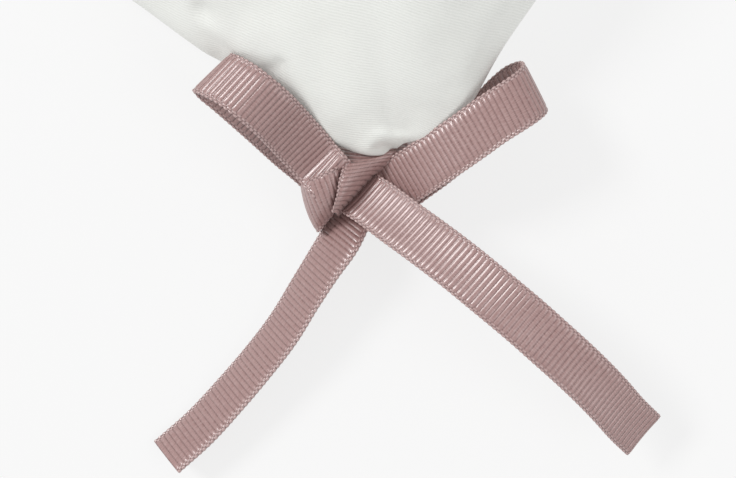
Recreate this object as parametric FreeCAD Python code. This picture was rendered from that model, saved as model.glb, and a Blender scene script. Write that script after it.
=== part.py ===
import FreeCAD, Part
import math
import os
from FreeCAD import Vector

# Ring bearer pillow, in millimetres.  +Z is up, the back panel rests on z = 0,
# and the origin is under the middle of the pillow.

# ---- driving dimensions ---------------------------------------------------
PILLOW_SIDE = 200.0        # seam to seam, measured across straight sides
CORNER_RADIUS = 20.0       # rounding of the sewn corners
SEAM_Z = 17.0              # height of the perimeter seam above the table
TOP_Z = 58.0               # crown of the stuffed front panel
FABRIC = 0.8               # twill plus its lining
FILLING_GAP = 0.15         # filling to cloth
ALLOWANCE_WIDTH = 6.0      # turned-in seam allowance
ALLOWANCE_THICKNESS = 0.5
SEAM_INSET = 4.0           # stitch line, in from the seam edge
THREAD_THICKNESS = 0.4
CLOSING_LENGTH = 60.0      # hand-closed turning gap, middle of the +Y side
CLOSING_STEP = 5.0

RIBBON_WIDTH = 10.0        # standard 10 mm grosgrain
RIBBON_THICKNESS = 0.5
WRAP_LENGTH = 9.0          # knot wrap, along the line of the loops
WRAP_WIDTH = 11.5
WRAP_HEIGHT = 9.0
WRAP_RADIUS = 3.0
WRAP_WALL = 0.6
TONGUE_WIDTH = 6.0         # gathered ribbon inside the knot
TONGUE_THICKNESS = 1.6
TONGUE_GAP = 1.8           # from the middle of the knot to each tongue
TACK_RADIUS = 2.4          # hand stitches that hold a knot
TACK_THREAD = 0.22
TACK_PITCH = 1.1
TACK_LOOPS = 4
TACK_RUN = 0.3             # thread that joins the loops
TACK_END = 0.5             # and how far it runs on past them

# Half width and corner radius of the pillow at heights above or below the seam.
FRONT_SECTIONS = [(0.0, 100.0, 20.0), (6.0, 97.0, 30.0), (16.0, 89.0, 45.0), (27.0, 75.0, 58.0),
                  (35.0, 56.0, 50.0), (39.5, 36.0, 34.0), (41.0, 18.0, 17.0)]
BACK_SECTIONS = [(0.0, 100.0, 20.0), (-5.0, 97.0, 30.0), (-11.0, 89.0, 45.0), (-15.0, 80.0, 55.0),
                 (-17.0, 68.0, 60.0)]

# ---- one corner bow, in its own frame --------------------------------------
# x runs across the corner, y points from the corner to the pillow's middle, z is
# the height above the table.  The point where the two seams would meet is here:
SEAM_CORNER = Vector(-1.2, -8.8, 0.0)

CORNER_BOW = {
    "wrap_centre": Vector(-9.5, -5.5, 13.0),
    "wrap_heading": -15.0,
    "loop_left": {
        "start": Vector(-15.1, -2.2, 0.0), "heading": 132.0,
        "out": [(0.6, 13.9), (4.0, 20.6), (8.0, 26.0), (14.0, 30.5), (20.0, 32.5)],
        "fold": [(23.6, 32.4), (24.6, 30.6), (23.4, 28.8)],
        "back": [(20.0, 28.4), (14.0, 27.0), (8.0, 23.4), (4.0, 18.6), (0.6, 12.1)],
    },
    "loop_right": {
        "start": Vector(-1.4, -7.2, 0.0), "heading": 24.4,
        "out": [(0.0, 13.9), (5.0, 19.2), (10.0, 22.0), (16.0, 24.0), (24.0, 25.4)],
        "fold": [(29.4, 25.4), (30.6, 23.2), (29.2, 21.2)],
        "back": [(24.0, 20.8), (16.0, 20.4), (10.0, 19.4), (5.0, 17.2), (0.0, 12.1)],
    },
    "tail_right": {
        "start": Vector(-4.0, -11.1, 0.0), "heading": -51.2,
        "path": [(0.0, 17.2), (8.0, 19.6), (18.0, 21.8), (30.0, 22.4), (42.0, 20.4), (54.0, 15.0),
                 (63.0, 9.4)],
    },
}
# The left tail lies banked on its edge and bends about that tilted edge line.
LEFT_TAIL_END = Vector(-52.4, -48.9, 3.7)
LEFT_TAIL_HEADING = -148.5
LEFT_TAIL_BANK = 42.0
LEFT_TAIL_LENGTH = 54.0
LEFT_TAIL_BEND = 30.0

# ---- the ring tie on the crown ---------------------------------------------
RING_BOW = {
    "wrap_centre": Vector(0.0, 0.0, TOP_Z + 4.9),
    "wrap_heading": 0.0,
    "loop_left": {
        "start": Vector(-4.9, 0.0, 0.0), "heading": 180.0,
        "out": [(0.0, 63.8), (5.0, 66.6), (11.0, 68.4), (18.0, 68.6)],
        "fold": [(24.6, 67.2), (26.4, 64.4), (24.6, 61.8)],
        "back": [(18.0, 60.6), (11.0, 60.6), (5.0, 61.2), (0.0, 62.0)],
    },
    "tail_left": {
        "start": Vector(-4.8, -9.6, 0.0), "heading": -118.0,
        "path": [(0.0, 61.6), (7.0, 60.4), (14.0, 59.4), (26.0, 58.3), (38.0, 56.2), (48.0, 53.4)],
    },
}
RING_BOW["loop_right"] = dict(RING_BOW["loop_left"], start=Vector(4.9, 0.0, 0.0), heading=0.0)
RING_BOW["tail_right"] = dict(RING_BOW["tail_left"], start=Vector(4.8, -9.6, 0.0), heading=-62.0)

UP = Vector(0, 0, 1)


def heading_vector(degrees):
    angle = math.radians(degrees)
    return Vector(math.cos(angle), math.sin(angle), 0)


def rounded_square(half, radius, z):
    """Closed wire of four sides and four arcs, starting on the +X side."""
    edges = []
    for quarter in range(4):
        turn = FreeCAD.Rotation(UP, 90.0 * quarter)
        side = Part.makeLine(turn.multVec(Vector(half, radius - half, z)),
                             turn.multVec(Vector(half, half - radius, z)))
        diagonal = radius * math.sqrt(0.5)
        centre = half - radius
        arc = Part.Arc(turn.multVec(Vector(half, centre, z)),
                       turn.multVec(Vector(centre + diagonal, centre + diagonal, z)),
                       turn.multVec(Vector(centre, half, z)))
        edges += [side, arc.toShape()]
    return Part.Wire(edges)


def half_body(sections, inset):
    """Solid between the seam plane and the crown or base, shrunk by inset."""
    depth = abs(sections[-1][0])
    wires = []
    for height, half, radius in sections:
        z = SEAM_Z + height * (1.0 - inset / depth)
        wires.append(rounded_square(half - 1.3 * inset, radius - inset, z))
    return Part.makeLoft(wires, True, False)


def square_ring(outer, width, z_low, thickness):
    """Flat ring that follows the seam, outer = half width of its outside."""
    radius = CORNER_RADIUS - (PILLOW_SIDE / 2 - outer)
    outside = Part.Face(rounded_square(outer, radius, z_low))
    inside = Part.Face(rounded_square(outer - width, radius - width, z_low))
    return outside.cut(inside).Faces[0].extrude(Vector(0, 0, thickness))


def strip(points, origin, along, up, width=RIBBON_WIDTH):
    """Ribbon bent in the plane of along and up, and extruded across its width."""
    across = along.cross(up)
    spots = [origin + along * s + up * h for s, h in points]
    curve = Part.BSplineCurve()
    curve.interpolate(spots)
    count = 8 * len(points)
    sides = {1: [], -1: []}
    for i in range(count + 1):
        u = curve.FirstParameter + (curve.LastParameter - curve.FirstParameter) * i / count
        (tangent,) = curve.tangent(u)
        normal = tangent.cross(across).normalize()
        for side in sides:
            sides[side].append(curve.value(u) + normal * (side * RIBBON_THICKNESS / 2))
    edges = []
    for side in sides:
        face_curve = Part.BSplineCurve()
        face_curve.interpolate(sides[side])
        edges.append(face_curve.toShape())
    for end in (0, -1):
        edges.append(Part.makeLine(sides[1][end], sides[-1][end]))
    profile = Part.Face(Part.Wire(Part.__sortEdges__(edges)))
    profile.translate(across * (-width / 2))
    return profile.extrude(across * width)


def make_wrap(bow):
    """Band of ribbon round the crossing: a short tube along the line of the loops."""
    outer = Part.makeBox(WRAP_LENGTH, WRAP_WIDTH, WRAP_HEIGHT)
    inner = Part.makeBox(WRAP_LENGTH + 2, WRAP_WIDTH - 2 * WRAP_WALL, WRAP_HEIGHT - 2 * WRAP_WALL)
    outer.translate(Vector(-WRAP_LENGTH / 2, -WRAP_WIDTH / 2, -WRAP_HEIGHT / 2))
    inner.translate(Vector(-WRAP_LENGTH / 2 - 1, WRAP_WALL - WRAP_WIDTH / 2, WRAP_WALL - WRAP_HEIGHT / 2))
    outer = outer.makeFillet(WRAP_RADIUS, long_edges(outer))
    inner = inner.makeFillet(WRAP_RADIUS - WRAP_WALL, long_edges(inner))
    tube = outer.cut(inner)
    tube.rotate(Vector(0, 0, 0), UP, bow["wrap_heading"])
    tube.translate(bow["wrap_centre"])
    return tube


def long_edges(box):
    """The edges of a box that run along X."""
    return [e for e in box.Edges if abs(e.tangentAt(e.FirstParameter).x) > 0.99]


def make_loop(bow, side):
    """Teardrop of ribbon plus its gathered tongue inside the knot."""
    loop = bow[side]
    along = heading_vector(loop["heading"])
    stations = loop["out"] + loop["fold"] + loop["back"]
    body = strip(stations, loop["start"], along, UP)
    root = loop["start"] + along * (loop["out"][0][0] + 0.8)
    root.z = (loop["out"][0][1] + loop["back"][-1][1]) / 2
    sign = 1 if heading_vector(bow["wrap_heading"]).dot(root - bow["wrap_centre"]) > 0 else -1
    inside = bow["wrap_centre"] + heading_vector(bow["wrap_heading"]) * (TONGUE_GAP * sign)
    inside.z = root.z
    reach = root - inside
    tongue = Part.makeBox(reach.Length, TONGUE_WIDTH, TONGUE_THICKNESS + RIBBON_THICKNESS)
    tongue.translate(Vector(0, -TONGUE_WIDTH / 2, -(TONGUE_THICKNESS + RIBBON_THICKNESS) / 2))
    tongue.rotate(Vector(0, 0, 0), UP, math.degrees(math.atan2(reach.y, reach.x)))
    tongue.translate(inside)
    return body.fuse(tongue).removeSplitter()


def make_tail(bow, side):
    tail = bow[side]
    return strip(tail["path"], tail["start"], heading_vector(tail["heading"]), UP)


def banked_axes():
    """Along, and up off the cloth, for the left tail of a corner bow."""
    along = heading_vector(LEFT_TAIL_HEADING)
    bank = math.radians(LEFT_TAIL_BANK)
    across = heading_vector(LEFT_TAIL_HEADING + 90) * math.cos(bank) + UP * math.sin(bank)
    return along, across.cross(along) * -1, across


def make_left_corner_tail():
    along, up, _ = banked_axes()
    bend_radius = LEFT_TAIL_LENGTH / math.radians(LEFT_TAIL_BEND)
    points = []
    for i in range(9):
        angle = math.radians(LEFT_TAIL_BEND) * (1 - i / 8)
        points.append((-bend_radius * math.sin(angle), bend_radius * (1 - math.cos(angle))))
    return strip(points, LEFT_TAIL_END, along, up)


def make_tack(centre, heading):
    """Loops of hand stitching side by side along heading, joined by a run of thread."""
    span = TACK_PITCH * (TACK_LOOPS - 1)
    along = Vector(1, 0, 0)
    start = Vector(-span / 2 - TACK_END, 0, -TACK_RADIUS)
    tack = Part.makeCylinder(TACK_RUN, span + 2 * TACK_END, start, along)
    for i in range(TACK_LOOPS):
        middle = Vector(-span / 2 + TACK_PITCH * i, 0, 0)
        tack = tack.fuse(Part.makeTorus(TACK_RADIUS, TACK_THREAD, middle, along))
    tack.rotate(Vector(0, 0, 0), UP, heading)
    tack.translate(centre)
    return tack


def place_at_corner(shape, index):
    """Move a shape from the bow's frame to one of the four corners."""
    moved = shape.copy()
    moved.translate(SEAM_CORNER * -1)
    moved.rotate(Vector(0, 0, 0), UP, -45)
    moved.translate(Vector(-PILLOW_SIDE / 2, -PILLOW_SIDE / 2, 0))
    moved.rotate(Vector(0, 0, 0), UP, 90 * index)
    return moved


def make_pillow():
    half = PILLOW_SIDE / 2
    parts = {}
    for name, sections, lift in (("front_panel", FRONT_SECTIONS, 0.0),
                                 ("back_panel", BACK_SECTIONS, -ALLOWANCE_THICKNESS)):
        shell = half_body(sections, 0.0).cut(half_body(sections, FABRIC))
        allowance = square_ring(half - 0.6, ALLOWANCE_WIDTH, SEAM_Z + lift, ALLOWANCE_THICKNESS)
        parts[name] = shell.fuse(allowance)
    pocket = square_ring(half, ALLOWANCE_WIDTH + 1.2, SEAM_Z - 1.2, 2.4)
    inset = FABRIC + FILLING_GAP
    filling = half_body(FRONT_SECTIONS, inset).fuse(half_body(BACK_SECTIONS, inset))
    parts["fibre_filling"] = filling.cut(pocket)
    stitch = half - SEAM_INSET
    above = SEAM_Z + ALLOWANCE_THICKNESS + 0.02
    below = SEAM_Z - ALLOWANCE_THICKNESS - 0.02 - THREAD_THICKNESS
    parts["seam_needle_thread"] = square_ring(stitch, THREAD_THICKNESS, above, THREAD_THICKNESS)
    parts["seam_bobbin_thread"] = square_ring(stitch, THREAD_THICKNESS, below, THREAD_THICKNESS)
    return parts


def make_closing_stitches():
    """Ladder stitches over the seam where the pillow was turned and filled."""
    radius = THREAD_THICKNESS / 2
    count = int(CLOSING_LENGTH / CLOSING_STEP)
    points = []
    for i in range(count + 1):
        x = -CLOSING_LENGTH / 2 + CLOSING_STEP * i
        z = SEAM_Z + (0.7 if i % 2 else -0.7)
        points.append(Vector(x, PILLOW_SIDE / 2 + radius + 0.1, z))
    path = Part.BSplineCurve()
    path.interpolate(points)
    (tangent,) = path.tangent(path.FirstParameter)
    section = Part.Wire(Part.makeCircle(radius, points[0], tangent))
    return Part.Wire(path.toShape()).makePipeShell([section], True, True)


def make_corner_bow():
    bow = CORNER_BOW
    return {
        "tack": make_tack(Vector(-6.2, -0.3, 16.0), bow["wrap_heading"]),
        "wrap": make_wrap(bow),
        "loop_left": make_loop(bow, "loop_left"),
        "loop_right": make_loop(bow, "loop_right"),
        "tail_left": make_left_corner_tail(),
        "tail_right": make_tail(bow, "tail_right"),
    }


def make_ring_bow():
    bow = RING_BOW
    parts = {
        "tack": make_tack(Vector(0.0, 0.0, TOP_Z - 0.2), bow["wrap_heading"]),
        "wrap": make_wrap(bow),
    }
    for side in ("left", "right"):
        parts["loop_" + side] = make_loop(bow, "loop_" + side)
        parts["tail_" + side] = make_tail(bow, "tail_" + side)
    return parts


def main():
    parts = make_pillow()
    parts["closing_stitches"] = make_closing_stitches()
    corner_bow = make_corner_bow()
    for corner in range(4):
        for piece, shape in corner_bow.items():
            parts["bow{}_{}".format(corner + 1, piece)] = place_at_corner(shape, corner)
    for piece, shape in make_ring_bow().items():
        parts["ring_" + piece] = shape

    os.makedirs("parts", exist_ok=True)
    for name, shape in parts.items():
        solid = shape.Solids[0] if len(shape.Solids) == 1 else shape
        print("{:24s} solids {} valid {} volume {:.1f} box {}".format(
            name, len(shape.Solids), shape.isValid(), shape.Volume, shape.BoundBox))
        solid.exportStep(os.path.join("parts", name + ".step"))


main()
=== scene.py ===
import math

import bmesh
import bpy
import numpy as np
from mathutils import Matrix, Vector


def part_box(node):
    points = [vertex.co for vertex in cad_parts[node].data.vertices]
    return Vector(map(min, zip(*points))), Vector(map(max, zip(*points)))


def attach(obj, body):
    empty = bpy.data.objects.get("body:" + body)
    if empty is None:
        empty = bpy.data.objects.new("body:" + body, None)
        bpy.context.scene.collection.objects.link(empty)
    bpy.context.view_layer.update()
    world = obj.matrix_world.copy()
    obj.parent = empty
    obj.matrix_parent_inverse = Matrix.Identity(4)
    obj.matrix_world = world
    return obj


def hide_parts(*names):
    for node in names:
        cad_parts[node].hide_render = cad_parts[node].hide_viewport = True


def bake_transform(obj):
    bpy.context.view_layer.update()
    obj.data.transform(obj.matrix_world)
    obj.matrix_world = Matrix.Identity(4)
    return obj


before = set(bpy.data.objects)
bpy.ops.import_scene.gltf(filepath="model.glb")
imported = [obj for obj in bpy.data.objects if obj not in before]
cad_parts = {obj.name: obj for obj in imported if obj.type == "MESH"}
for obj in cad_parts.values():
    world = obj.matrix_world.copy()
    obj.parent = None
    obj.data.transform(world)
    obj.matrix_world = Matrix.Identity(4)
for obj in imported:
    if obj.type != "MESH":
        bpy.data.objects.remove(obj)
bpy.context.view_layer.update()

MM = 0.001
TINY = 1e-9

# Sizes in millimetres, unless a comment says otherwise.
HALF_SIDE = 100.0
SEAM_CORNER = np.array((-1.2, -8.8, 0.0))    # where two seams would meet, in a corner bow's frame
WALE_PITCH = 0.52
WALE_ANGLE = 71.0         # degrees from the cloth's own grain
RIBBON_WIDTH = 9.3
RIBBON_THICKNESS = 0.34
RIB_PITCH = 1.03
RIB_HEIGHT = 0.19
RIB_ROUNDNESS = 0.55      # 1 is a sine's crest, less is flatter on top
STEPS_PER_RIB = 8
BODY_EDGE = 4.02          # from the ribbon's middle to where its selvedge begins
OUTER_BEADS = 4.34        # and to the selvedge's outer row of beads
SELVEDGE = 0.85           # the same places on the mesh, as shares of the half width
INNER_BEADS_AT = 0.895
OUTER_BEADS_AT = 0.965
PICOT_REACH = 0.13
UV_UNIT = 100.0           # mm to one unit of UV
SEAM_THREAD = 0.18        # radius
HAND_THREAD = 0.17        # radius


# ---------------------------------------------------------------- frames ----
def turn_z(points, degrees):
    """Points turned about the upright axis."""
    a = math.radians(degrees)
    turn = np.array(((math.cos(a), -math.sin(a), 0), (math.sin(a), math.cos(a), 0), (0, 0, 1)))
    return np.asarray(points, float) @ turn.T


def corner_to_pillow(points, corner):
    """From a corner bow's own frame to the pillow's frame, both in mm."""
    moved = turn_z(np.asarray(points, float) - SEAM_CORNER, -45)
    moved = moved - np.array((HALF_SIDE, HALF_SIDE, 0))
    return turn_z(moved, 90 * corner)


# ------------------------------------------------------------- node tools ----
class Nodes:
    """A short way to lay out a material's nodes."""

    def __init__(self, name):
        self.material = bpy.data.materials.new(name)
        self.material.use_nodes = True
        self.tree = self.material.node_tree
        self.shader = self.tree.nodes["Principled BSDF"]

    def add(self, kind, inputs=None, **settings):
        node = self.tree.nodes.new(kind)
        for key, value in settings.items():
            setattr(node, key, value)
        for key, value in (inputs or {}).items():
            self.plug(node.inputs[key], value)
        return node

    def plug(self, socket, value):
        if isinstance(value, bpy.types.NodeSocket):
            self.tree.links.new(value, socket)
        else:
            socket.default_value = value

    def math(self, operation, a, b=0.0, clamp=False):
        return self.add("ShaderNodeMath", {0: a, 1: b}, operation=operation, use_clamp=clamp).outputs[0]

    def mix(self, factor, a, b):
        node = self.add("ShaderNodeMix", data_type="RGBA")
        self.plug(node.inputs["Factor"], factor)
        self.plug(node.inputs["A"], a)
        self.plug(node.inputs["B"], b)
        return node.outputs["Result"]

    def noise(self, vector, scale, detail=2.0, roughness=0.5):
        return self.add("ShaderNodeTexNoise", {"Vector": vector, "Scale": scale, "Detail": detail,
                                               "Roughness": roughness}).outputs["Fac"]

    def ramp(self, value, low, high):
        return self.add("ShaderNodeMapRange", {"Value": value, "From Min": low, "From Max": high}).outputs[0]


def rgb(r, g, b):
    """An sRGB colour, 0 to 255, as the linear values the shader takes."""
    out = []
    for c in (r, g, b):
        c /= 255
        out.append(c / 12.92 if c <= 0.04045 else ((c + 0.055) / 1.055) ** 2.4)
    return (*out, 1.0)


def make_ribbon_material():
    """Grosgrain: fine warp over thick ribs, beaded selvedges, with painted shade in the rib grooves and
    painted light and shade on the selvedge beads.  UV is (across, along) in mm / 100.
    """
    n = Nodes("grosgrain")
    uv = n.add("ShaderNodeTexCoord").outputs["UV"]
    split = n.add("ShaderNodeSeparateXYZ", {0: uv})
    across = n.math("MULTIPLY", split.outputs[0], UV_UNIT)
    along = n.math("MULTIPLY", split.outputs[1], UV_UNIT)
    off_centre = n.math("ABSOLUTE", across)

    def crest(shift):
        phase = n.math("ADD", n.math("MULTIPLY", along, math.pi / RIB_PITCH), shift)
        return n.math("ABSOLUTE", n.math("SINE", phase))

    rib = crest(0.0)
    in_edge = n.ramp(off_centre, BODY_EDGE - 0.06, BODY_EDGE + 0.03)
    in_outer = n.ramp(off_centre, OUTER_BEADS - 0.04, OUTER_BEADS + 0.04)
    # painted light and shade on the selvedge beads: lighter on each bead, darker between beads and in the
    # gap between the two rows
    bead_light_and_shade = n.add("ShaderNodeMix", {0: in_outer, 2: crest(math.pi / 4), 3: crest(3 * math.pi / 4)},
                  data_type="FLOAT").outputs[0]
    row_gap_shade = n.ramp(n.math("ABSOLUTE", n.math("SUBTRACT", off_centre, OUTER_BEADS)), 0.0, 0.10)
    bead_light_and_shade = n.math("MULTIPLY", n.ramp(bead_light_and_shade, 0.25, 0.75), row_gap_shade)
    # warp threads lie along the ribbon and cross the ribs
    stretched = n.add("ShaderNodeCombineXYZ", {0: n.math("MULTIPLY", across, 5.5),
                                               1: n.math("MULTIPLY", along, 0.9)}).outputs[0]
    warp = n.noise(stretched, 1.0, 1.0, 0.6)
    patchy = n.noise(n.add("ShaderNodeCombineXYZ", {0: across, 1: along}).outputs[0], 0.14, 2.0)
    # painted shade: the colour darkens in the grooves between the ribs
    body = n.mix(n.ramp(rib, 0.05, 0.6), rgb(113, 80, 77), rgb(154, 120, 117))
    body = n.mix(n.math("MULTIPLY", n.ramp(warp, 0.4, 0.75), 0.4), body, rgb(192, 166, 163))
    # painted highlight on the selvedge beads, painted shade between them
    edge = n.mix(bead_light_and_shade, rgb(126, 96, 94), rgb(180, 152, 149))
    tint = n.mix(in_edge, body, edge)
    tint = n.mix(n.math("MULTIPLY", n.ramp(patchy, 0.4, 0.7), 0.15), tint, rgb(146, 112, 110))
    n.plug(n.shader.inputs["Base Color"], tint)
    gloss = n.add("ShaderNodeMapRange", {"Value": warp, "To Min": 0.24, "To Max": 0.36}).outputs[0]
    n.plug(n.shader.inputs["Roughness"], gloss)
    n.shader.inputs["Specular IOR Level"].default_value = 1.0
    n.shader.inputs["Sheen Weight"].default_value = 0.15
    n.shader.inputs["Sheen Roughness"].default_value = 0.4
    bump = n.add("ShaderNodeBump", {"Height": warp, "Strength": 0.25, "Distance": 0.00004})
    n.plug(n.shader.inputs["Normal"], bump.outputs[0])
    return n.material


def make_twill_material():
    """White cotton twill.  UV is the flat cloth in mm / 100."""
    n = Nodes("white_twill")
    uv = n.add("ShaderNodeTexCoord").outputs["UV"]
    cloth = n.add("ShaderNodeMapping", {"Vector": uv, "Rotation": (0, 0, math.radians(WALE_ANGLE)),
                                        "Scale": (UV_UNIT, UV_UNIT, UV_UNIT)}).outputs[0]
    soft = n.noise(cloth, 0.05, 2.0)
    wobble = n.noise(cloth, 0.35, 1.0)
    split = n.add("ShaderNodeSeparateXYZ", {0: cloth})
    wale = n.math("ADD", split.outputs[1], n.math("MULTIPLY", wobble, 0.3))
    wale = n.math("SINE", n.math("MULTIPLY", wale, 2 * math.pi / WALE_PITCH))
    wale = n.math("ADD", 0.5, n.math("MULTIPLY", 0.5, wale))
    yarns = n.add("ShaderNodeCombineXYZ", {0: n.math("MULTIPLY", split.outputs[0], 2.0),
                                           1: n.math("MULTIPLY", split.outputs[1], 5.0)}).outputs[0]
    yarn = n.noise(yarns, 1.0, 2.0, 0.65)
    height = n.math("ADD", n.math("MULTIPLY", wale, 0.5), yarn)
    weave = n.math("ADD", n.math("MULTIPLY", wale, 0.3), n.math("MULTIPLY", yarn, 0.62))
    colour = n.mix(weave, rgb(222, 224, 219), rgb(246, 247, 244))
    colour = n.mix(n.math("MULTIPLY", n.ramp(soft, 0.4, 0.7), 0.25), colour, rgb(232, 233, 227))
    n.plug(n.shader.inputs["Base Color"], colour)
    n.shader.inputs["Roughness"].default_value = 0.82
    n.shader.inputs["Specular IOR Level"].default_value = 0.25
    n.shader.inputs["Sheen Weight"].default_value = 0.15
    n.shader.inputs["Sheen Roughness"].default_value = 0.5
    bump = n.add("ShaderNodeBump", {"Height": height, "Strength": 0.6, "Distance": 0.0001})
    n.plug(n.shader.inputs["Normal"], bump.outputs[0])
    return n.material


def make_thread_material():
    """Spun thread: a fine twisted strand."""
    n = Nodes("thread")
    place = n.add("ShaderNodeTexCoord").outputs["Object"]
    twist = n.add("ShaderNodeTexWave", {"Vector": place, "Scale": 900.0, "Distortion": 2.0},
                  bands_direction="DIAGONAL").outputs["Fac"]
    n.plug(n.shader.inputs["Base Color"], n.mix(twist, rgb(214, 214, 208), rgb(240, 240, 236)))
    n.shader.inputs["Roughness"].default_value = 0.6
    bump = n.add("ShaderNodeBump", {"Height": twist, "Strength": 0.4, "Distance": 0.00005})
    n.plug(n.shader.inputs["Normal"], bump.outputs[0])
    return n.material


def make_fibre_material():
    """Loose white polyester fibre."""
    n = Nodes("fibre")
    place = n.add("ShaderNodeTexCoord").outputs["Object"]
    wisps = n.noise(place, 900.0, 6.0, 0.7)
    n.plug(n.shader.inputs["Base Color"], n.mix(wisps, rgb(228, 229, 228), rgb(250, 250, 249)))
    n.shader.inputs["Roughness"].default_value = 0.9
    bump = n.add("ShaderNodeBump", {"Height": wisps, "Strength": 0.8, "Distance": 0.0006})
    n.plug(n.shader.inputs["Normal"], bump.outputs[0])
    return n.material


GROSGRAIN = make_ribbon_material()
TWILL = make_twill_material()
THREAD = make_thread_material()
FIBRE = make_fibre_material()


# ------------------------------------------------------------- mesh tools ----
def make_object(name, verts_mm, faces, material, uv=None):
    """uv holds one pair per vertex."""
    mesh = bpy.data.meshes.new(name)
    mesh.from_pydata((np.asarray(verts_mm, float) * MM).tolist(), [], faces)
    if uv is not None:
        layer = mesh.uv_layers.new(name="UVMap")
        corners = np.empty(len(mesh.loops), dtype=np.int32)
        mesh.loops.foreach_get("vertex_index", corners)
        layer.data.foreach_set("uv", np.asarray(uv, np.float32)[corners].ravel())
    mesh.polygons.foreach_set("use_smooth", [True] * len(mesh.polygons))
    mesh.materials.append(material)
    mesh.update()
    obj = bpy.data.objects.new(name, mesh)
    bpy.context.scene.collection.objects.link(obj)
    return obj


def smooth_path(points, count=None, at=None):
    """Catmull-Rom spline through points (n, ...), at even or given shares of its chord length."""
    points = np.asarray(points, float)
    flat = points.reshape(len(points), -1)
    knots = np.concatenate(([0.0], np.cumsum(np.linalg.norm(np.diff(flat, axis=0), axis=1))))
    knots /= knots[-1]
    at = np.linspace(0, 1, count) if at is None else np.asarray(at)
    slopes = np.empty_like(flat)
    steps = np.diff(knots)[:, None]
    chords = np.diff(flat, axis=0) / steps
    slopes[0], slopes[-1] = chords[0], chords[-1]
    slopes[1:-1] = (chords[:-1] * steps[1:] + chords[1:] * steps[:-1]) / (steps[1:] + steps[:-1])
    i = np.clip(np.searchsorted(knots, at, side="right") - 1, 0, len(points) - 2)
    h = (knots[i + 1] - knots[i])[:, None]
    t = ((at - knots[i])[:, None]) / h
    value = ((2 * t**3 - 3 * t**2 + 1) * flat[i] + (t**3 - 2 * t**2 + t) * h * slopes[i]
             + (3 * t**2 - 2 * t**3) * flat[i + 1] + (t**3 - t**2) * h * slopes[i + 1])
    return value.reshape((len(at),) + points.shape[1:])


# Places across a ribbon, -1 to 1, closer together at the two selvedges.
ACROSS = np.array([-1, -0.975, -0.955, -0.935, -0.915, -0.895, -0.875, -0.855, -0.8, -0.6, -0.35, -0.1,
                   0.1, 0.35, 0.6, 0.8, 0.855, 0.875, 0.895, 0.915, 0.935, 0.955, 0.975, 1])


def ribbon_mesh(rows, cup=0.0, rib_shift=0.0):
    """A grosgrain ribbon as a closed mesh: (vertices mm, faces, uv, length mm).

    rows is (stations, columns, 3): the lines that run along the ribbon, from its left
    selvedge to its right one, given at each station.
    """
    rows = np.asarray(rows, float)
    dense = smooth_path(rows, 800)
    middle = dense.mean(axis=1)
    run = np.concatenate(([0.0], np.cumsum(np.linalg.norm(np.diff(middle, axis=0), axis=1))))
    length = run[-1]
    count = int(length / (RIB_PITCH / STEPS_PER_RIB)) + 1
    along = np.linspace(0, length, count)
    shares = np.interp(along, run, np.linspace(0, 1, len(run)))
    rows = smooth_path(rows, at=shares)
    columns = np.swapaxes(rows, 0, 1)
    if columns.shape[0] == 2:
        share = ((ACROSS + 1) / 2)[:, None, None]
        surface = columns[0] * (1 - share) + columns[1] * share
    else:
        surface = smooth_path(columns, at=(ACROSS + 1) / 2)
    surface = np.swapaxes(surface, 0, 1)                      # (along, across, 3)
    step_along = np.gradient(surface, axis=0)
    step_across = np.gradient(surface, axis=1)
    normal = np.cross(step_along, step_across)
    normal /= np.maximum(np.linalg.norm(normal, axis=2, keepdims=True), TINY)
    outward = step_across / np.maximum(np.linalg.norm(step_across, axis=2, keepdims=True), TINY)
    v = ACROSS[None, :]
    off = np.abs(v)
    phase = (along[:, None] + rib_shift) * math.pi / RIB_PITCH
    inner_phase, outer_phase = phase + math.pi / 4, phase + 3 * math.pi / 4
    body = RIB_HEIGHT * np.abs(np.sin(phase)) ** RIB_ROUNDNESS
    inner_row = np.abs(np.sin(inner_phase)) * np.clip(1 - ((off - INNER_BEADS_AT) / 0.035) ** 2, 0, 1)
    outer_row = np.abs(np.sin(outer_phase)) * np.clip(1 - ((off - OUTER_BEADS_AT) / 0.04) ** 2, 0, 1)
    in_selvedge = np.clip((off - SELVEDGE) / 0.01, 0, 1)
    relief = body * (1 - in_selvedge) + 0.9 * RIB_HEIGHT * (inner_row + outer_row) * in_selvedge
    relief *= 1 + 0.12 * np.sin(0.37 * along[:, None] + 2.1 * v)
    picot = PICOT_REACH * np.sin(outer_phase) ** 2 * np.clip((off - 0.95) / 0.05, 0, 1)
    surface = surface + normal * (cup * (1 - v**2))[..., None]
    surface = surface + outward * (picot * np.sign(v))[..., None]
    lift = (RIBBON_THICKNESS / 2 + relief)[..., None]
    top, under = surface + normal * lift, surface - normal * lift
    n_across = len(ACROSS)
    verts = np.concatenate((top.reshape(-1, 3), under.reshape(-1, 3)))
    half_uv = np.empty((count, n_across, 2))
    half_uv[..., 0] = v * RIBBON_WIDTH / 2 / UV_UNIT
    half_uv[..., 1] = (along[:, None] + rib_shift) / UV_UNIT
    uv = np.concatenate((half_uv.reshape(-1, 2),) * 2)
    grid = np.arange(count * n_across).reshape(count, n_across)
    shift = count * n_across
    a, b, c, d = grid[:-1, :-1], grid[1:, :-1], grid[1:, 1:], grid[:-1, 1:]
    faces = [np.stack((a, b, c, d), -1).reshape(-1, 4),
             np.stack((d, c, b, a), -1).reshape(-1, 4) + shift]
    rim = np.concatenate((grid[0, :], grid[1:, -1], grid[-1, -2::-1], grid[-2::-1, 0]))
    faces.append(np.stack((rim[:-1], rim[1:], rim[1:] + shift, rim[:-1] + shift), -1))
    return verts, np.concatenate(faces).tolist(), uv, length


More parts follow.
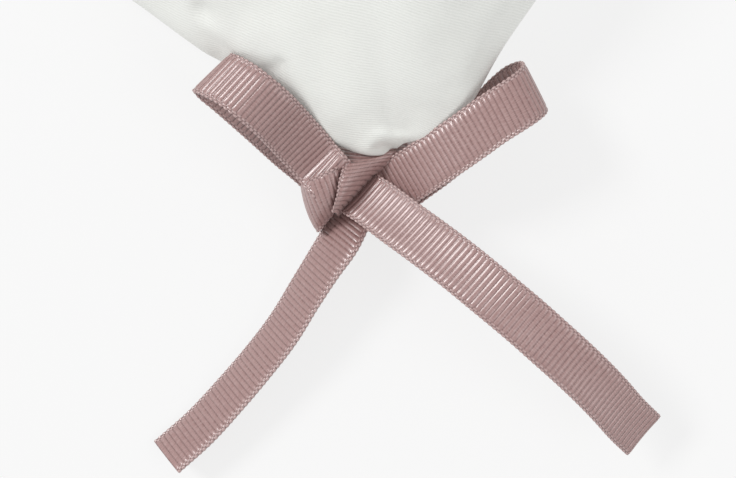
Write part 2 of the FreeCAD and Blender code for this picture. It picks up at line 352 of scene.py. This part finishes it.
def stations(points):
    """Rows for ribbon_mesh from (x, y, z, heading across, bank) in mm and degrees."""
    rows = []
    for x, y, z, heading, bank in points:
        h, b = math.radians(heading), math.radians(bank)
        across = np.array((math.cos(h) * math.cos(b), math.sin(h) * math.cos(b), math.sin(b)))
        half = across * RIBBON_WIDTH / 2
        centre = np.array((x, y, z), float)
        rows.append((centre - half, centre + half))
    return rows


def tube_mesh(points, radius, closed=False, sides=8):
    """A round thread that follows points, in mm."""
    points = np.asarray(points, float)
    ahead = np.roll(points, -1, 0) - np.roll(points, 1, 0)
    if not closed:
        ahead[0], ahead[-1] = points[1] - points[0], points[-1] - points[-2]
    ahead /= np.linalg.norm(ahead, axis=1, keepdims=True)
    side = np.cross(ahead, np.array((0.13, 0.21, 0.97)))
    side /= np.linalg.norm(side, axis=1, keepdims=True)
    up = np.cross(side, ahead)
    angles = np.linspace(0, 2 * math.pi, sides, endpoint=False)
    ring = side[:, None] * np.cos(angles)[None, :, None] + up[:, None] * np.sin(angles)[None, :, None]
    verts = (points[:, None] + ring * radius).reshape(-1, 3)
    faces = []
    spans = len(points) if closed else len(points) - 1
    for i in range(spans):
        a, b = i * sides, ((i + 1) % len(points)) * sides
        for k in range(sides):
            after = (k + 1) % sides
            faces.append((a + k, a + after, b + after, b + k))
    if not closed:
        faces.append(tuple(range(sides))[::-1])
        faces.append(tuple(range((len(points) - 1) * sides, len(points) * sides)))
    return verts, faces


def stitch_mesh(stitches):
    """Hand stitches as one mesh, each a smooth line of points in mm."""
    verts, faces = [], []
    for stitch in stitches:
        more, more_faces = tube_mesh(stitch, HAND_THREAD)
        faces += [tuple(k + len(verts) for k in face) for face in more_faces]
        verts += more.tolist()
    return verts, faces


def place_piece(obj, node):
    """Stands obj for a CAD node and lets it ride on the pillow."""
    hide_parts(node)
    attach(obj, "pillow")


# ------------------------------------------------------------- the pillow ----
CROWN = 41.0              # front panel, above the seam
BELLY = 27.0              # back panel, below the seam, before it meets the table
SEAM_SIDE_Z = 17.0
SEAM_CORNER_Z = 15.2
CORNER_RADIUS = 0.18      # share of the half side
PULL_IN = 0.006           # sides bow in between the corners
TABLE_GAP = 3.0           # below this height the belly flattens towards the table
GRID = 72                 # quads along a panel's side
FILLING_INSET = 1.3
FILLING_SHARE = 0.975     # the filling's plan, against the cloth's


def corner_reach(t):
    """Distance out along a direction whose larger part is 1 and smaller t, on the rounded square."""
    centre = 1 - CORNER_RADIUS
    in_corner = t > centre
    a = 1 + t * t
    b = -2 * centre * (1 + t)
    c = 2 * centre**2 - CORNER_RADIUS**2
    root = (-b + np.sqrt(np.maximum(b * b - 4 * a * c, 0))) / (2 * a)
    return np.where(in_corner, root, 1.0)


def pull(t):
    """How much a side is pulled in, 0 at its ends and 1 half way along."""
    return (1 - t**2) ** 5


def seam_height(u, v):
    return SEAM_SIDE_Z + (SEAM_CORNER_Z - SEAM_SIDE_Z) * np.abs(u * v) ** 3


def corner_gap(x, y):
    """Distance in plan to the nearest corner of the square, mm."""
    return np.hypot(HALF_SIDE - np.abs(x), HALF_SIDE - np.abs(y))


def pillow_point(u, v, side):
    """Point of the cloth, mm.  u and v run -1 to 1 over a panel, side is 1 front, -1 back."""
    reach = np.maximum(np.abs(u), np.abs(v))
    small = np.minimum(np.abs(u), np.abs(v)) / np.maximum(reach, TINY)
    scale = 1 - (1 - corner_reach(small)) * reach**5
    x = HALF_SIDE * u * scale * (1 - PULL_IN * pull(v))
    y = HALF_SIDE * v * scale * (1 - PULL_IN * pull(u))
    seam = seam_height(u, v)
    full = np.maximum((1 - np.abs(u) ** 2.2) * (1 - np.abs(v) ** 2.2), 0)
    if side > 0:
        return x, y, seam + CROWN * full**0.56
    low = seam - BELLY * full**0.5
    settled = TABLE_GAP * np.exp(np.minimum((low - TABLE_GAP) / TABLE_GAP, 0))
    return x, y, np.where(low < TABLE_GAP, settled, low)


def build_pillow_base():
    """Closed quad mesh of both panels.  Returns verts, faces, material index, uv, seam vertex ids."""
    even = np.linspace(-1, 1, GRID + 1)
    line = 0.35 * even + 0.65 * np.sin(even * math.pi / 2)
    u, v = np.meshgrid(line, line, indexing="ij")
    fronts = np.stack(pillow_point(u, v, 1), -1)
    backs = np.stack(pillow_point(u, v, -1), -1)
    size = GRID + 1
    front_id = np.arange(size * size).reshape(size, size)
    back_id = front_id.copy()
    inner = np.zeros((size, size), bool)
    inner[1:-1, 1:-1] = True
    back_id[inner] = size * size + np.arange(inner.sum())
    verts = np.concatenate((fronts.reshape(-1, 3), backs[inner]))
    faces, panel = [], []
    for ids, flip, index in ((front_id, False, 0), (back_id, True, 1)):
        for i in range(GRID):
            for j in range(GRID):
                quad = (ids[i, j], ids[i + 1, j], ids[i + 1, j + 1], ids[i, j + 1])
                faces.append([int(q) for q in (quad[::-1] if flip else quad)])
                panel.append(index)
    # cloth coordinates: between the plan and the arc length along the two middle lines
    half_count = 400
    fine = np.linspace(-1, 1, 2 * half_count + 1)
    x, _, z = pillow_point(fine, np.zeros_like(fine), 1)
    arc = np.concatenate(([0.0], np.cumsum(np.hypot(np.diff(x), np.diff(z)))))
    arc = np.interp(line, fine, arc - arc[half_count])
    cloth_u, cloth_v = np.meshgrid(arc, arc, indexing="ij")
    flat = (np.stack((cloth_u, cloth_v), -1) + fronts[..., :2]) / 2 / UV_UNIT
    uv = np.concatenate((flat.reshape(-1, 2), flat[inner]))
    seam = np.unique(np.concatenate((front_id[0], front_id[-1], front_id[:, 0], front_id[:, -1])))
    return verts, faces, panel, uv, seam, back_id[inner]


def inflate(obj, pinned, frames=18, cap=4.0):
    """Cloth under pressure, so the panels pucker at the seam they are held by."""
    group = obj.vertex_groups.new(name="pin")
    group.add([int(i) for i in pinned], 1.0, "REPLACE")
    before = np.array([v.co for v in obj.data.vertices])
    modifier = obj.modifiers.new("Cloth", "CLOTH")
    cloth = modifier.settings
    cloth.quality = 6
    cloth.mass = 0.15
    cloth.tension_stiffness = cloth.compression_stiffness = 18
    cloth.shear_stiffness = 8
    cloth.bending_stiffness = 0.15
    cloth.use_pressure = True
    cloth.uniform_pressure_force = 4.0
    cloth.shrink_min = -0.018
    cloth.vertex_group_mass = "pin"
    cloth.effector_weights.gravity = 0.0
    modifier.collision_settings.use_collision = False
    modifier.point_cache.frame_start = 1
    modifier.point_cache.frame_end = frames
    for step in range(1, frames + 1):
        bpy.context.scene.frame_set(step)
    depsgraph = bpy.context.evaluated_depsgraph_get()
    result = obj.evaluated_get(depsgraph).to_mesh()
    after = np.array([v.co for v in result.vertices])
    obj.evaluated_get(depsgraph).to_mesh_clear()
    obj.modifiers.remove(modifier)
    moved = after - before
    far = np.linalg.norm(moved, axis=1, keepdims=True)
    moved *= np.minimum(1.0, cap * MM / np.maximum(far, TINY))
    # the stuffed corners stay taut
    to_corner = corner_gap(before[:, :1] / MM, before[:, 1:2] / MM)
    moved *= 1 - 0.8 * np.exp(-((to_corner / 45) ** 2))
    obj.data.vertices.foreach_set("co", (before + moved).astype(np.float32).ravel())
    obj.data.update()
    bpy.context.scene.frame_set(1)


def subdivide(obj):
    modifier = obj.modifiers.new("Subdivision", "SUBSURF")
    modifier.levels = modifier.render_levels = 1
    depsgraph = bpy.context.evaluated_depsgraph_get()
    mesh = bpy.data.meshes.new_from_object(obj.evaluated_get(depsgraph))
    obj.modifiers.clear()
    old = obj.data
    obj.data = mesh
    bpy.data.meshes.remove(old)


def nearest_corner(points):
    """Which corner, 0 to 3, each point is nearest to."""
    return np.round((np.degrees(np.arctan2(points[:, 1], points[:, 0])) + 135) / 90).astype(int) % 4


def pillow_to_corner(points, corner):
    """The reverse of corner_to_pillow."""
    turned = turn_z(points, -90 * corner) + np.array((HALF_SIDE, HALF_SIDE, 0))
    return turn_z(turned, 45) + SEAM_CORNER


def bump_at(points, centre, radius):
    """1 at the centre, falling off round it, in plan."""
    gap = points[:, :2] - np.asarray(centre)[:2]
    return np.exp(-(gap**2).sum(axis=1) / (2 * radius**2))


def groove_along(points, path, width):
    """1 on the path, falling off to both sides, in plan."""
    path = np.asarray(path, float)[:, :2]
    best = np.full(len(points), 1e9)
    for a, b in zip(path[:-1], path[1:]):
        leg = b - a
        t = np.clip(((points[:, :2] - a) @ leg) / (leg @ leg), 0, 1)
        best = np.minimum(best, np.linalg.norm(points[:, :2] - (a + t[:, None] * leg), axis=1))
    return np.exp(-((best / width) ** 2))


def get_points(mesh):
    """Vertex positions in mm, and their normals."""
    co = np.empty(len(mesh.vertices) * 3, np.float32)
    mesh.vertices.foreach_get("co", co)
    normals = np.empty_like(co)
    mesh.vertices.foreach_get("normal", normals)
    return co.reshape(-1, 3).astype(float) / MM, normals.reshape(-1, 3).astype(float)


def set_points(mesh, points):
    """Moves the vertices to points in mm, none below the table."""
    points[:, 2] = np.maximum(points[:, 2], 0.05)
    mesh.vertices.foreach_set("co", (points * MM).astype(np.float32).ravel())
    mesh.update()


# Dimples and creases in the front cloth near each corner, in the corner's frame, mm.
DIMPLE = (-30.6, 28.2)
DIMPLE_CREASE = [(-30.4, 28.6), (-29.0, 22.0), (-29.6, 17.0)]
LOOP_CREASE = [(-22.1, 16.1), (-19.9, 16.5), (-18.6, 17.2)]
SIDE_HOLLOW = [(12.0, 16.0), (20.0, 26.0)]
PRESSED_BY_LOOP = [(-20.0, 10.0), (-9.5, 1.6)]


def pucker_seams(mesh):
    """Small waves beside the seam, and dimples that lead away from each gathered corner."""
    p, normal = get_points(mesh)
    x, y = p[:, 0], p[:, 1]
    inside = np.maximum(HALF_SIDE * (1 - PULL_IN) - np.maximum(np.abs(x), np.abs(y)), 0)
    along = np.where(np.abs(x) > np.abs(y), y, x)
    wander = along + 3.1 * np.sin(along * 0.11) + 1.9 * np.sin(along * 0.23 + 1.3)
    ripple = np.sin(wander * 2 * math.pi / 11.5) + 0.5 * np.sin(wander * 2 * math.pi / 7.3 + 0.8)
    near = np.exp(-((inside / 7.0) ** 2)) * (1 - np.exp(-((inside / 1.6) ** 2)))
    to_corner = corner_gap(x, y)
    move = 0.2 * ripple * near * (1 - 0.75 * np.exp(-((to_corner / 50) ** 2)))
    corner = nearest_corner(p)
    front = p[:, 2] > SEAM_SIDE_Z - 3
    for k in range(4):
        mine = (corner == k) & front
        local = pillow_to_corner(p[mine], k)
        move[mine] -= (0.9 * bump_at(local, DIMPLE, 1.2)
                       + 0.55 * groove_along(local, DIMPLE_CREASE, 1.5)
                       + 1.1 * groove_along(local, LOOP_CREASE, 0.9)
                       + 0.35 * groove_along(local, SIDE_HOLLOW, 4.5))
    set_points(mesh, p + normal * move[:, None])


# The fold across each corner's tip: x and y in the corner's frame, mm.
TIP_FOLD_X = (-7.0, -6.0, -4.7, -3.6, -2.6, -1.8, -0.8, 1.5)
TIP_FOLD_Y = (0.9, 1.2, 1.5, 1.6, 1.5, 1.2, 0.8, 0.2)


def fold_tips(mesh):
    """Gather each corner's tip to one side and tuck a small fold across it."""
    p, _ = get_points(mesh)
    corner = nearest_corner(p)
    for k in range(4):
        mine = np.where(corner == k)[0]
        local = pillow_to_corner(p[mine], k)
        near = (np.abs(local[:, 0]) < 30) & (local[:, 1] < 25)
        mine, local = mine[near], local[near]
        x, y = local[:, 0], local[:, 1]
        gather = 1.3 * np.exp(-(((x - 0.9) / 2.3) ** 2) - ((y + 1) / 5) ** 2)
        swell = 0.3 * np.exp(-(((x + 6.0) / 3.0) ** 2) - ((y + 1) / 3) ** 2)
        local[:, 1] += gather - swell
        local[:, 0] += 1.4 * bump_at(local, (12.0, 5.0), 6.0)
        below = np.interp(x, TIP_FOLD_X, TIP_FOLD_Y) - local[:, 1]
        fade = np.exp(-(np.maximum(x + 0.8, 0) / 2.2) ** 2)
        depth = 3.2 * np.clip((x + 6.5) / 5.0, 0, 1) ** 1.5 * fade
        step = np.clip(below / 1.3, 0, 1)
        sink = depth * step**2 * (3 - 2 * step) * np.exp(-(np.maximum(below - 1.0, 0) / 2.6) ** 2)
        lip = 0.8 * np.clip((x + 6.0) / 4.0, 0, 1) * np.exp(-(((below + 0.9) / 1.1) ** 2)
                                                            - (np.maximum(x, 0) / 2.5) ** 2)
        front = local[:, 2] > SEAM_CORNER_Z - 0.3
        local[:, 2] += np.where(front, lip, 0) - sink
        pressed = groove_along(local, PRESSED_BY_LOOP, 3.2)
        local[:, 2] -= np.where(front, 1.2 * pressed, 0)
        p[mine] = corner_to_pillow(local, k)
    set_points(mesh, p)


def split_panels(obj):
    """Front and back cloth as two objects that meet at the seam."""
    panels = []
    for index, name in ((0, "front_cloth"), (1, "back_cloth")):
        bm = bmesh.new()
        bm.from_mesh(obj.data)
        bmesh.ops.delete(bm, geom=[f for f in bm.faces if f.material_index != index], context="FACES")
        mesh = bpy.data.meshes.new(name)
        for face in bm.faces:
            face.material_index = 0
            face.smooth = True
        bm.to_mesh(mesh)
        bm.free()
        mesh.materials.clear()
        mesh.materials.append(TWILL)
        panel = bpy.data.objects.new(name, mesh)
        bpy.context.scene.collection.objects.link(panel)
        panels.append(panel)
    return panels


def make_filling(cover):
    """The filling is the same shape, a little inside the cloth."""
    mesh = cover.data.copy()
    fold_tips(mesh)
    points, normal = get_points(mesh)
    points -= normal * FILLING_INSET
    points[:, :2] *= FILLING_SHARE
    set_points(mesh, points)
    mesh.materials.clear()
    mesh.materials.append(FIBRE)
    mesh.polygons.foreach_set("material_index", [0] * len(mesh.polygons))
    mesh.update()
    filling = bpy.data.objects.new("filling", mesh)
    bpy.context.scene.collection.objects.link(filling)
    return filling


def make_pillow():
    verts, faces, panel, uv, seam, back_inner = build_pillow_base()
    cover = make_object("cover", verts, faces, TWILL, uv)
    cover.data.materials.append(TWILL)
    cover.data.polygons.foreach_set("material_index", panel)
    inflate(cover, np.concatenate((seam, back_inner)))
    subdivide(cover)
    pucker_seams(cover.data)
    filling = make_filling(cover)
    subdivide(cover)
    fold_tips(cover.data)
    front, back = split_panels(cover)
    bpy.data.objects.remove(cover)

    place_piece(front, "front_panel")
    place_piece(back, "back_panel")
    place_piece(filling, "fibre_filling")


def seam_ring(inset, lift, count=360):
    """Points that follow the seam, inset in mm towards the middle."""
    half = 1 - inset / HALF_SIDE
    t = np.linspace(-1, 1, count // 4, endpoint=False)
    one = np.full_like(t, 1.0)
    u = np.concatenate((one, -t, -one, t))
    v = np.concatenate((t, one, -t, -one))
    x, y, _ = pillow_point(u * half, v * half, 1)
    return np.stack((x, y, seam_height(u, v) + lift), -1)


def make_threads():
    for name, node, lift in (("needle_thread", "seam_needle_thread", 0.5),
                             ("bobbin_thread", "seam_bobbin_thread", -0.5)):
        points = seam_ring(4.0, lift)
        points[:, 2] += 0.25 * np.sin(np.arange(len(points)) * math.pi / 2)
        verts, faces = tube_mesh(points, SEAM_THREAD, closed=True)
        place_piece(make_object(name, verts, faces, THREAD), node)
    low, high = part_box("closing_stitches")
    count = 14
    stitches = []
    for i in range(count):
        x = (low.x + (high.x - low.x) * (i + 0.5) / count) / MM
        y_edge = HALF_SIDE * (1 - PULL_IN * pull(x / HALF_SIDE)) + 0.15
        over = [(x - 1.1, y_edge - 1.0, SEAM_SIDE_Z + 1.3), (x - 0.6, y_edge + 0.1, SEAM_SIDE_Z + 0.8),
                (x, y_edge + 0.35, SEAM_SIDE_Z), (x + 0.6, y_edge + 0.1, SEAM_SIDE_Z - 0.8),
                (x + 1.1, y_edge - 1.0, SEAM_SIDE_Z - 1.3)]
        stitches.append(smooth_path(over, 14))
    verts, faces = stitch_mesh(stitches)
    place_piece(make_object("closing_stitch_run", verts, faces, THREAD), "closing_stitches")


# ------------------------------------------------------------ corner bows ----
# Stations: x, y, z in mm in the corner's frame, then heading across and bank in degrees.
LEFT_LOOP = [
    (-11.2, -6.6, 12.5, -138, -4), (-12.5, -4.5, 15.6, -139, -6), (-13.7, -2.6, 16.7, -141, -8),
    (-15.0, -0.5, 15.9, -145, -8), (-16.6, 2.2, 17.6, -147, -7), (-18.9, 5.8, 21.0, -145, -5),
    (-21.5, 9.5, 24.8, -144, -3), (-24.3, 12.8, 26.8, -142, -3), (-26.8, 15.4, 26.4, -143, -3),
    (-28.8, 17.0, 25.3, -143, -3), (-30.1, 17.9, 23.8, -145, -3), (-30.5, 18.1, 22.0, -147, -3),
    (-29.9, 17.0, 20.8, -146, -4), (-28.1, 14.9, 20.0, -144, -6), (-25.1, 11.2, 18.6, -144, -8),
    (-22.0, 7.3, 16.2, -145, -8), (-18.8, 3.2, 13.0, -146, -8), (-15.4, -0.8, 10.8, -148, -5),
    (-12.6, -4.6, 8.8, -144, -4)]
RIGHT_LOOP = [
    (-4.6, -8.2, 10.2, -70, -2), (-1.0, -6.1, 13.2, -70, 2), (2.4, -4.7, 15.8, -69, 6),
    (6.1, -3.2, 17.9, -69, 8), (9.7, -1.6, 19.6, -69, 8), (13.3, 0.1, 20.8, -70, 6),
    (16.8, 1.8, 21.6, -72, 4), (20.4, 3.3, 21.8, -73, 2), (23.1, 4.5, 21.2, -73, 0),
    (24.9, 5.6, 19.6, -73, 0), (25.4, 6.5, 17.4, -73, 0), (24.8, 7.0, 15.2, -73, 0),
    (22.8, 6.7, 13.6, -72, 2), (20.0, 5.2, 12.6, -71, 3), (16.4, 2.6, 11.8, -71, 4),
    (11.4, -0.4, 11.0, -70, 4), (6.5, -3.2, 10.2, -70, 3), (1.2, -5.8, 9.6, -70, 0),
    (-3.6, -8.2, 8.8, -71, -4)]
RIGHT_TAIL = [
    (-10.1, -4.4, 5.0, -143, -3), (-9.5, -5.5, 8.0, -143, -3), (-8.9, -6.5, 11.6, -143, -3),
    (-7.9, -7.6, 13.8, -143, -3), (-6.6, -8.8, 14.8, -143, -3), (-4.7, -10.8, 16.2, -143, -3),
    (-2.3, -13.4, 17.8, -143, -3), (0.7, -16.5, 19.6, -143, -3), (4.1, -20.1, 21.2, -142, -3),
    (7.1, -23.4, 22.1, -142, -3), (10.2, -27.0, 22.7, -141, -3), (13.3, -30.6, 22.8, -141, -3),
    (16.5, -34.4, 22.5, -140, -3), (19.7, -38.4, 21.9, -140, -3), (22.9, -42.4, 20.8, -139, -3),
    (26.1, -46.6, 19.0, -139, -2), (29.2, -51.0, 16.4, -139, -1), (31.8, -55.0, 13.4, -139, 0),
    (34.9, -59.1, 9.6, -140, 0)]
LEFT_TAIL = [
    (-9.6, -8.0, 6.6, -46, 18), (-11.2, -10.8, 8.4, -47, 27), (-13.5, -14.4, 9.8, -49, 35),
    (-17.2, -18.4, 9.4, -51, 41), (-21.3, -22.9, 8.4, -53, 43), (-26.7, -29.0, 7.2, -54, 43),
    (-32.7, -34.5, 6.0, -55, 43), (-38.5, -39.3, 5.1, -56, 42), (-44.9, -44.2, 4.4, -56, 41),
    (-52.1, -48.7, 3.8, -55, 40)]

# The knot is one turn of ribbon.  Its lines run from selvedge to selvedge: the far edge first.
KNOT_LEFT = [
    [(-5.6, -1.0, 5.5), (-5.8, -4.3, 5.0), (-5.9, -6.9, 5.0), (-5.8, -8.5, 5.5)],
    [(-12.9, -2.0, 4.5), (-13.1, -5.3, 4.0), (-13.0, -8.7, 4.0), (-12.5, -10.3, 4.5)],
    [(-18.3, -3.0, 8.0), (-18.4, -6.4, 7.4), (-17.9, -9.7, 7.4), (-16.9, -12.0, 7.6)],
    [(-18.2, -2.6, 13.0), (-18.0, -5.8, 12.8), (-17.5, -9.0, 12.4), (-16.8, -12.2, 10.5)],
    [(-17.1, -3.0, 15.8), (-16.7, -5.9, 15.4), (-16.1, -8.9, 14.0), (-15.7, -11.1, 10.0)],
    [(-15.6, -2.6, 17.4), (-15.1, -5.4, 17.0), (-14.6, -8.4, 15.0), (-14.4, -10.0, 10.0)],
    [(-14.1, -2.3, 18.0), (-13.6, -4.9, 17.4), (-13.3, -7.4, 15.6), (-12.9, -8.8, 10.0)],
    [(-12.6, -2.0, 17.8), (-12.4, -4.4, 17.0), (-11.9, -6.5, 15.4), (-11.2, -7.6, 10.0)],
    [(-11.0, -1.2, 16.2), (-10.7, -3.8, 15.6), (-9.9, -5.7, 14.2), (-9.2, -6.8, 9.5)]]
KNOT_RIGHT = [
    [(-12.0, 3.2, 10.8), (-5.6, 2.4, 10.0), (0.2, 2.8, 8.8), (4.6, 3.6, 7.0)],
    [(-11.4, 0.6, 13.6), (-5.9, -0.8, 13.8), (-0.6, -0.4, 13.2), (0.6, -1.3, 8.0)],
    [(-10.9, -2.2, 17.0), (-7.7, -2.4, 16.6), (-3.4, -2.1, 14.0), (-2.8, -3.1, 8.0)],
    [(-11.8, -4.2, 18.2), (-9.6, -4.2, 18.0), (-6.7, -4.1, 15.2), (-6.1, -4.9, 8.0)],
    [(-12.4, -6.1, 18.0), (-11.2, -6.2, 17.8), (-9.4, -6.2, 15.8), (-8.9, -6.9, 8.5)],
    [(-13.1, -7.8, 17.2), (-12.6, -7.9, 17.0), (-11.7, -7.9, 15.8), (-11.2, -8.7, 9.0)],
    [(-14.0, -9.4, 15.2), (-13.8, -9.4, 15.0), (-13.6, -9.5, 14.4), (-13.3, -10.2, 9.0)]]
TACK_STITCHES = [
    [(-7.6, -1.6, 11.6), (-7.4, 0.2, 10.6), (-7.0, 2.4, 10.0)],
    [(-6.0, -1.8, 11.4), (-5.6, 0.2, 10.3), (-5.6, 2.6, 9.8)],
    [(-4.2, -1.8, 11.2), (-4.2, 0.1, 10.2), (-3.8, 2.4, 9.8)]]


def merge(parts):
    """Several (verts, faces, uv, length) as one."""
    verts, faces, uv, length, start = [], [], [], 0.0, 0
    for part_verts, part_faces, part_uv, part_length in parts:
        verts.append(part_verts)
        faces += [[k + start for k in f] for f in part_faces]
        uv.append(part_uv)
        length += part_length
        start += len(part_verts)
    return np.concatenate(verts), faces, np.concatenate(uv), length


def make_bow(name, shapes, to_pillow, hinges):
    """One tied bow.  shapes maps piece to mesh data; hinges gives a start and end point for each tail, which
    are worked out but not used.
    """
    for piece, (verts, faces, uv, length) in shapes.items():
        obj = make_object(f"{name}_{piece}_ribbon", to_pillow(verts), faces, GROSGRAIN, uv)
        node = f"{name}_{piece}"
        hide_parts(node)
        if piece.startswith("tail"):
            start, end = to_pillow(np.array(hinges[piece]))
            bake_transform(obj)
        else:
            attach(obj, "pillow")


def make_tack(name, stitches, to_pillow):
    verts, faces = stitch_mesh([to_pillow(smooth_path(stitch, 12)) for stitch in stitches])
    place_piece(make_object(f"{name}_tack_stitches", verts, faces, THREAD), f"{name}_tack")


def make_corner_bows():
    shapes = {
        "loop_left": ribbon_mesh(stations(LEFT_LOOP)),
        "loop_right": ribbon_mesh(stations(RIGHT_LOOP), rib_shift=0.4),
        "tail_right": ribbon_mesh(stations(RIGHT_TAIL), cup=0.25),
        "tail_left": ribbon_mesh(stations(LEFT_TAIL), cup=0.2, rib_shift=0.3),
        "wrap": merge([ribbon_mesh(KNOT_LEFT), ribbon_mesh(KNOT_RIGHT, rib_shift=0.5)]),
    }
    hinges = {"tail_right": [(-8.0, -7.6, 15.0), (0.0, -16.4, 17.6)],
              "tail_left": [(-11.0, -10.6, 10.0), (-19.0, -20.0, 10.0)]}
    for corner in range(4):
        name = f"bow{corner + 1}"

        def to_pillow(points, corner=corner):
            return corner_to_pillow(points, corner)

        make_bow(name, shapes, to_pillow, hinges)
        make_tack(name, TACK_STITCHES, to_pillow)


# --------------------------------------------------------------- ring tie ----
# As for the corner bows, in the pillow's own frame.
RING_LOOP = [
    (1.0, 0.0, 63.2, -90, 0), (4.0, 0.0, 64.2, -90, 0), (8.0, 0.2, 65.9, -90, 2),
    (13.0, 0.4, 67.4, -89, 2), (19.0, 0.8, 68.2, -88, 2), (24.6, 1.1, 67.5, -87, 2),
    (27.6, 1.3, 65.7, -87, 2), (28.2, 1.2, 63.7, -87, 0), (26.4, 0.8, 62.0, -87, 0),
    (22.0, 0.4, 61.3, -88, 0), (15.0, 0.1, 61.6, -89, 0), (9.0, 0.0, 61.9, -90, 0),
    (4.5, 0.0, 62.0, -90, 0), (1.0, 0.0, 62.0, -90, 0)]
RING_TAIL = [
    (1.5, 1.0, 61.6, 30, 0), (2.4, -3.0, 62.1, 29, 0), (4.0, -8.0, 62.2, 28, 0), (7.0, -14.0, 61.8, 28, 0),
    (11.0, -21.4, 61.2, 28, 0), (15.6, -30.0, 60.1, 28, -1), (20.2, -38.4, 58.7, 28, -1),
    (25.4, -48.4, 56.4, 28, -2)]
RING_KNOT = [
    [(-3.6, -0.5, 58.9), (-1.2, -0.5, 58.7), (1.2, -0.5, 58.7), (3.6, -0.5, 58.9)],
    [(-4.3, -5.0, 59.6), (-1.5, -5.4, 59.4), (1.5, -5.4, 59.4), (4.3, -5.0, 59.6)],
    [(-4.2, -5.9, 62.4), (-1.4, -6.5, 62.4), (1.4, -6.5, 62.4), (4.2, -5.9, 62.4)],
    [(-3.8, -4.2, 65.0), (-1.4, -4.4, 65.8), (1.4, -4.4, 65.8), (3.8, -4.2, 65.0)],
    [(-3.6, 0.0, 66.2), (-1.3, 0.0, 67.1), (1.3, 0.0, 67.1), (3.6, 0.0, 66.2)],
    [(-3.8, 4.2, 65.0), (-1.4, 4.4, 65.8), (1.4, 4.4, 65.8), (3.8, 4.2, 65.0)],
    [(-4.2, 5.9, 62.4), (-1.4, 6.5, 62.4), (1.4, 6.5, 62.4), (4.2, 5.9, 62.4)],
    [(-4.3, 5.0, 59.6), (-1.5, 5.4, 59.4), (1.5, 5.4, 59.4), (4.3, 5.0, 59.6)],
    [(-3.6, 0.6, 58.9), (-1.2, 0.6, 58.7), (1.2, 0.6, 58.7), (3.6, 0.6, 58.9)]]


def make_ring_tie():
    mirror = np.array((-1, 1, 1))
    loop = np.array(stations(RING_LOOP))
    tail = np.array(stations(RING_TAIL))
    shapes = {
        "loop_right": ribbon_mesh(loop),
        "loop_left": ribbon_mesh((loop * mirror)[:, ::-1], rib_shift=0.3),
        "tail_right": ribbon_mesh(tail, cup=0.2),
        "tail_left": ribbon_mesh((tail * mirror)[:, ::-1], cup=0.2, rib_shift=0.6),
        "wrap": ribbon_mesh(RING_KNOT),
    }
    hinges = {"tail_right": [(4.0, -8.0, 61.8), (10.0, -19.0, 60.0)],
              "tail_left": [(-4.0, -8.0, 61.8), (-10.0, -19.0, 60.0)]}

    def to_pillow(points):
        return np.asarray(points, float)

    make_bow("ring", shapes, to_pillow, hinges)
    make_tack("ring", [[(-2.0, -1.5, 59.2), (-2.0, 0.0, 57.4), (-2.0, 1.5, 59.2)],
                       [(2.0, -1.5, 59.2), (2.0, 0.0, 57.4), (2.0, 1.5, 59.2)]], to_pillow)


# -------------------------------------------------- floor, light and camera ----
# In metres.
FLOOR_HALF_SIDE = 3.0
FLOOR_GAP = 0.0002
CAMERA_HEIGHT = 0.382
LIGHT_DISTANCE = 4.0
LOOK_AT = (-8.5, -15.3, 0.0)      # in the first corner's frame, mm
PICTURE_TILT = -9.8               # degrees from the corner's diagonal to the camera's up


def make_stage():
    mesh = bpy.data.meshes.new("floor")
    bm = bmesh.new()
    bmesh.ops.create_grid(bm, x_segments=2, y_segments=2, size=FLOOR_HALF_SIDE)
    bm.to_mesh(mesh)
    bm.free()
    floor = bpy.data.objects.new("floor", mesh)
    floor.location.z = -FLOOR_GAP
    n = Nodes("floor")
    n.shader.inputs["Base Color"].default_value = (0.16, 0.16, 0.16, 1)
    n.shader.inputs["Roughness"].default_value = 0.9
    n.shader.inputs["Specular IOR Level"].default_value = 0.0
    n.shader.inputs["Emission Color"].default_value = (1, 1, 1, 1)
    n.shader.inputs["Emission Strength"].default_value = 0.76
    mesh.materials.append(n.material)
    bpy.context.scene.collection.objects.link(floor)


def picture_heading(image_angle):
    """Heading in the pillow's frame of a direction in the camera's picture, degrees."""
    return image_angle + PICTURE_TILT - 45


def add_area(name, heading, elevation, size, power, aim):
    light = bpy.data.lights.new(name, "AREA")
    light.shape = "DISK"
    light.size = size
    light.energy = power
    obj = bpy.data.objects.new(name, light)
    a, e = math.radians(picture_heading(heading)), math.radians(elevation)
    away = Vector((math.cos(a) * math.cos(e), math.sin(a) * math.cos(e), math.sin(e)))
    obj.location = aim + away * LIGHT_DISTANCE
    obj.rotation_euler = (-away).to_track_quat("-Z", "Y").to_euler()
    bpy.context.scene.collection.objects.link(obj)


def make_light_and_camera():
    scene = bpy.context.scene
    look = Vector(corner_to_pillow(np.array([LOOK_AT]), 0)[0]) * MM
    add_area("key", heading=152, elevation=47, size=1.2, power=84.0, aim=look)
    add_area("fill", heading=-20, elevation=50, size=2.4, power=30.0, aim=look)
    world = bpy.data.worlds.new("studio")
    world.use_nodes = True
    world.node_tree.nodes["Background"].inputs["Color"].default_value = (1, 1, 1, 1)
    world.node_tree.nodes["Background"].inputs["Strength"].default_value = 0.62
    scene.world = world

    camera = bpy.data.cameras.new("camera")
    camera.lens = 100
    camera.sensor_width = 36
    camera.clip_start = 0.01
    obj = bpy.data.objects.new("camera", camera)
    obj.location = look + Vector((0, 0, CAMERA_HEIGHT))
    up = math.radians(picture_heading(90))
    obj.rotation_euler = (0, 0, up - math.pi / 2)
    scene.collection.objects.link(obj)
    scene.camera = obj
    scene.view_settings.view_transform = "Standard"
    scene.view_settings.look = "None"


make_stage()
make_light_and_camera()
make_pillow()
make_threads()
make_corner_bows()
make_ring_tie()
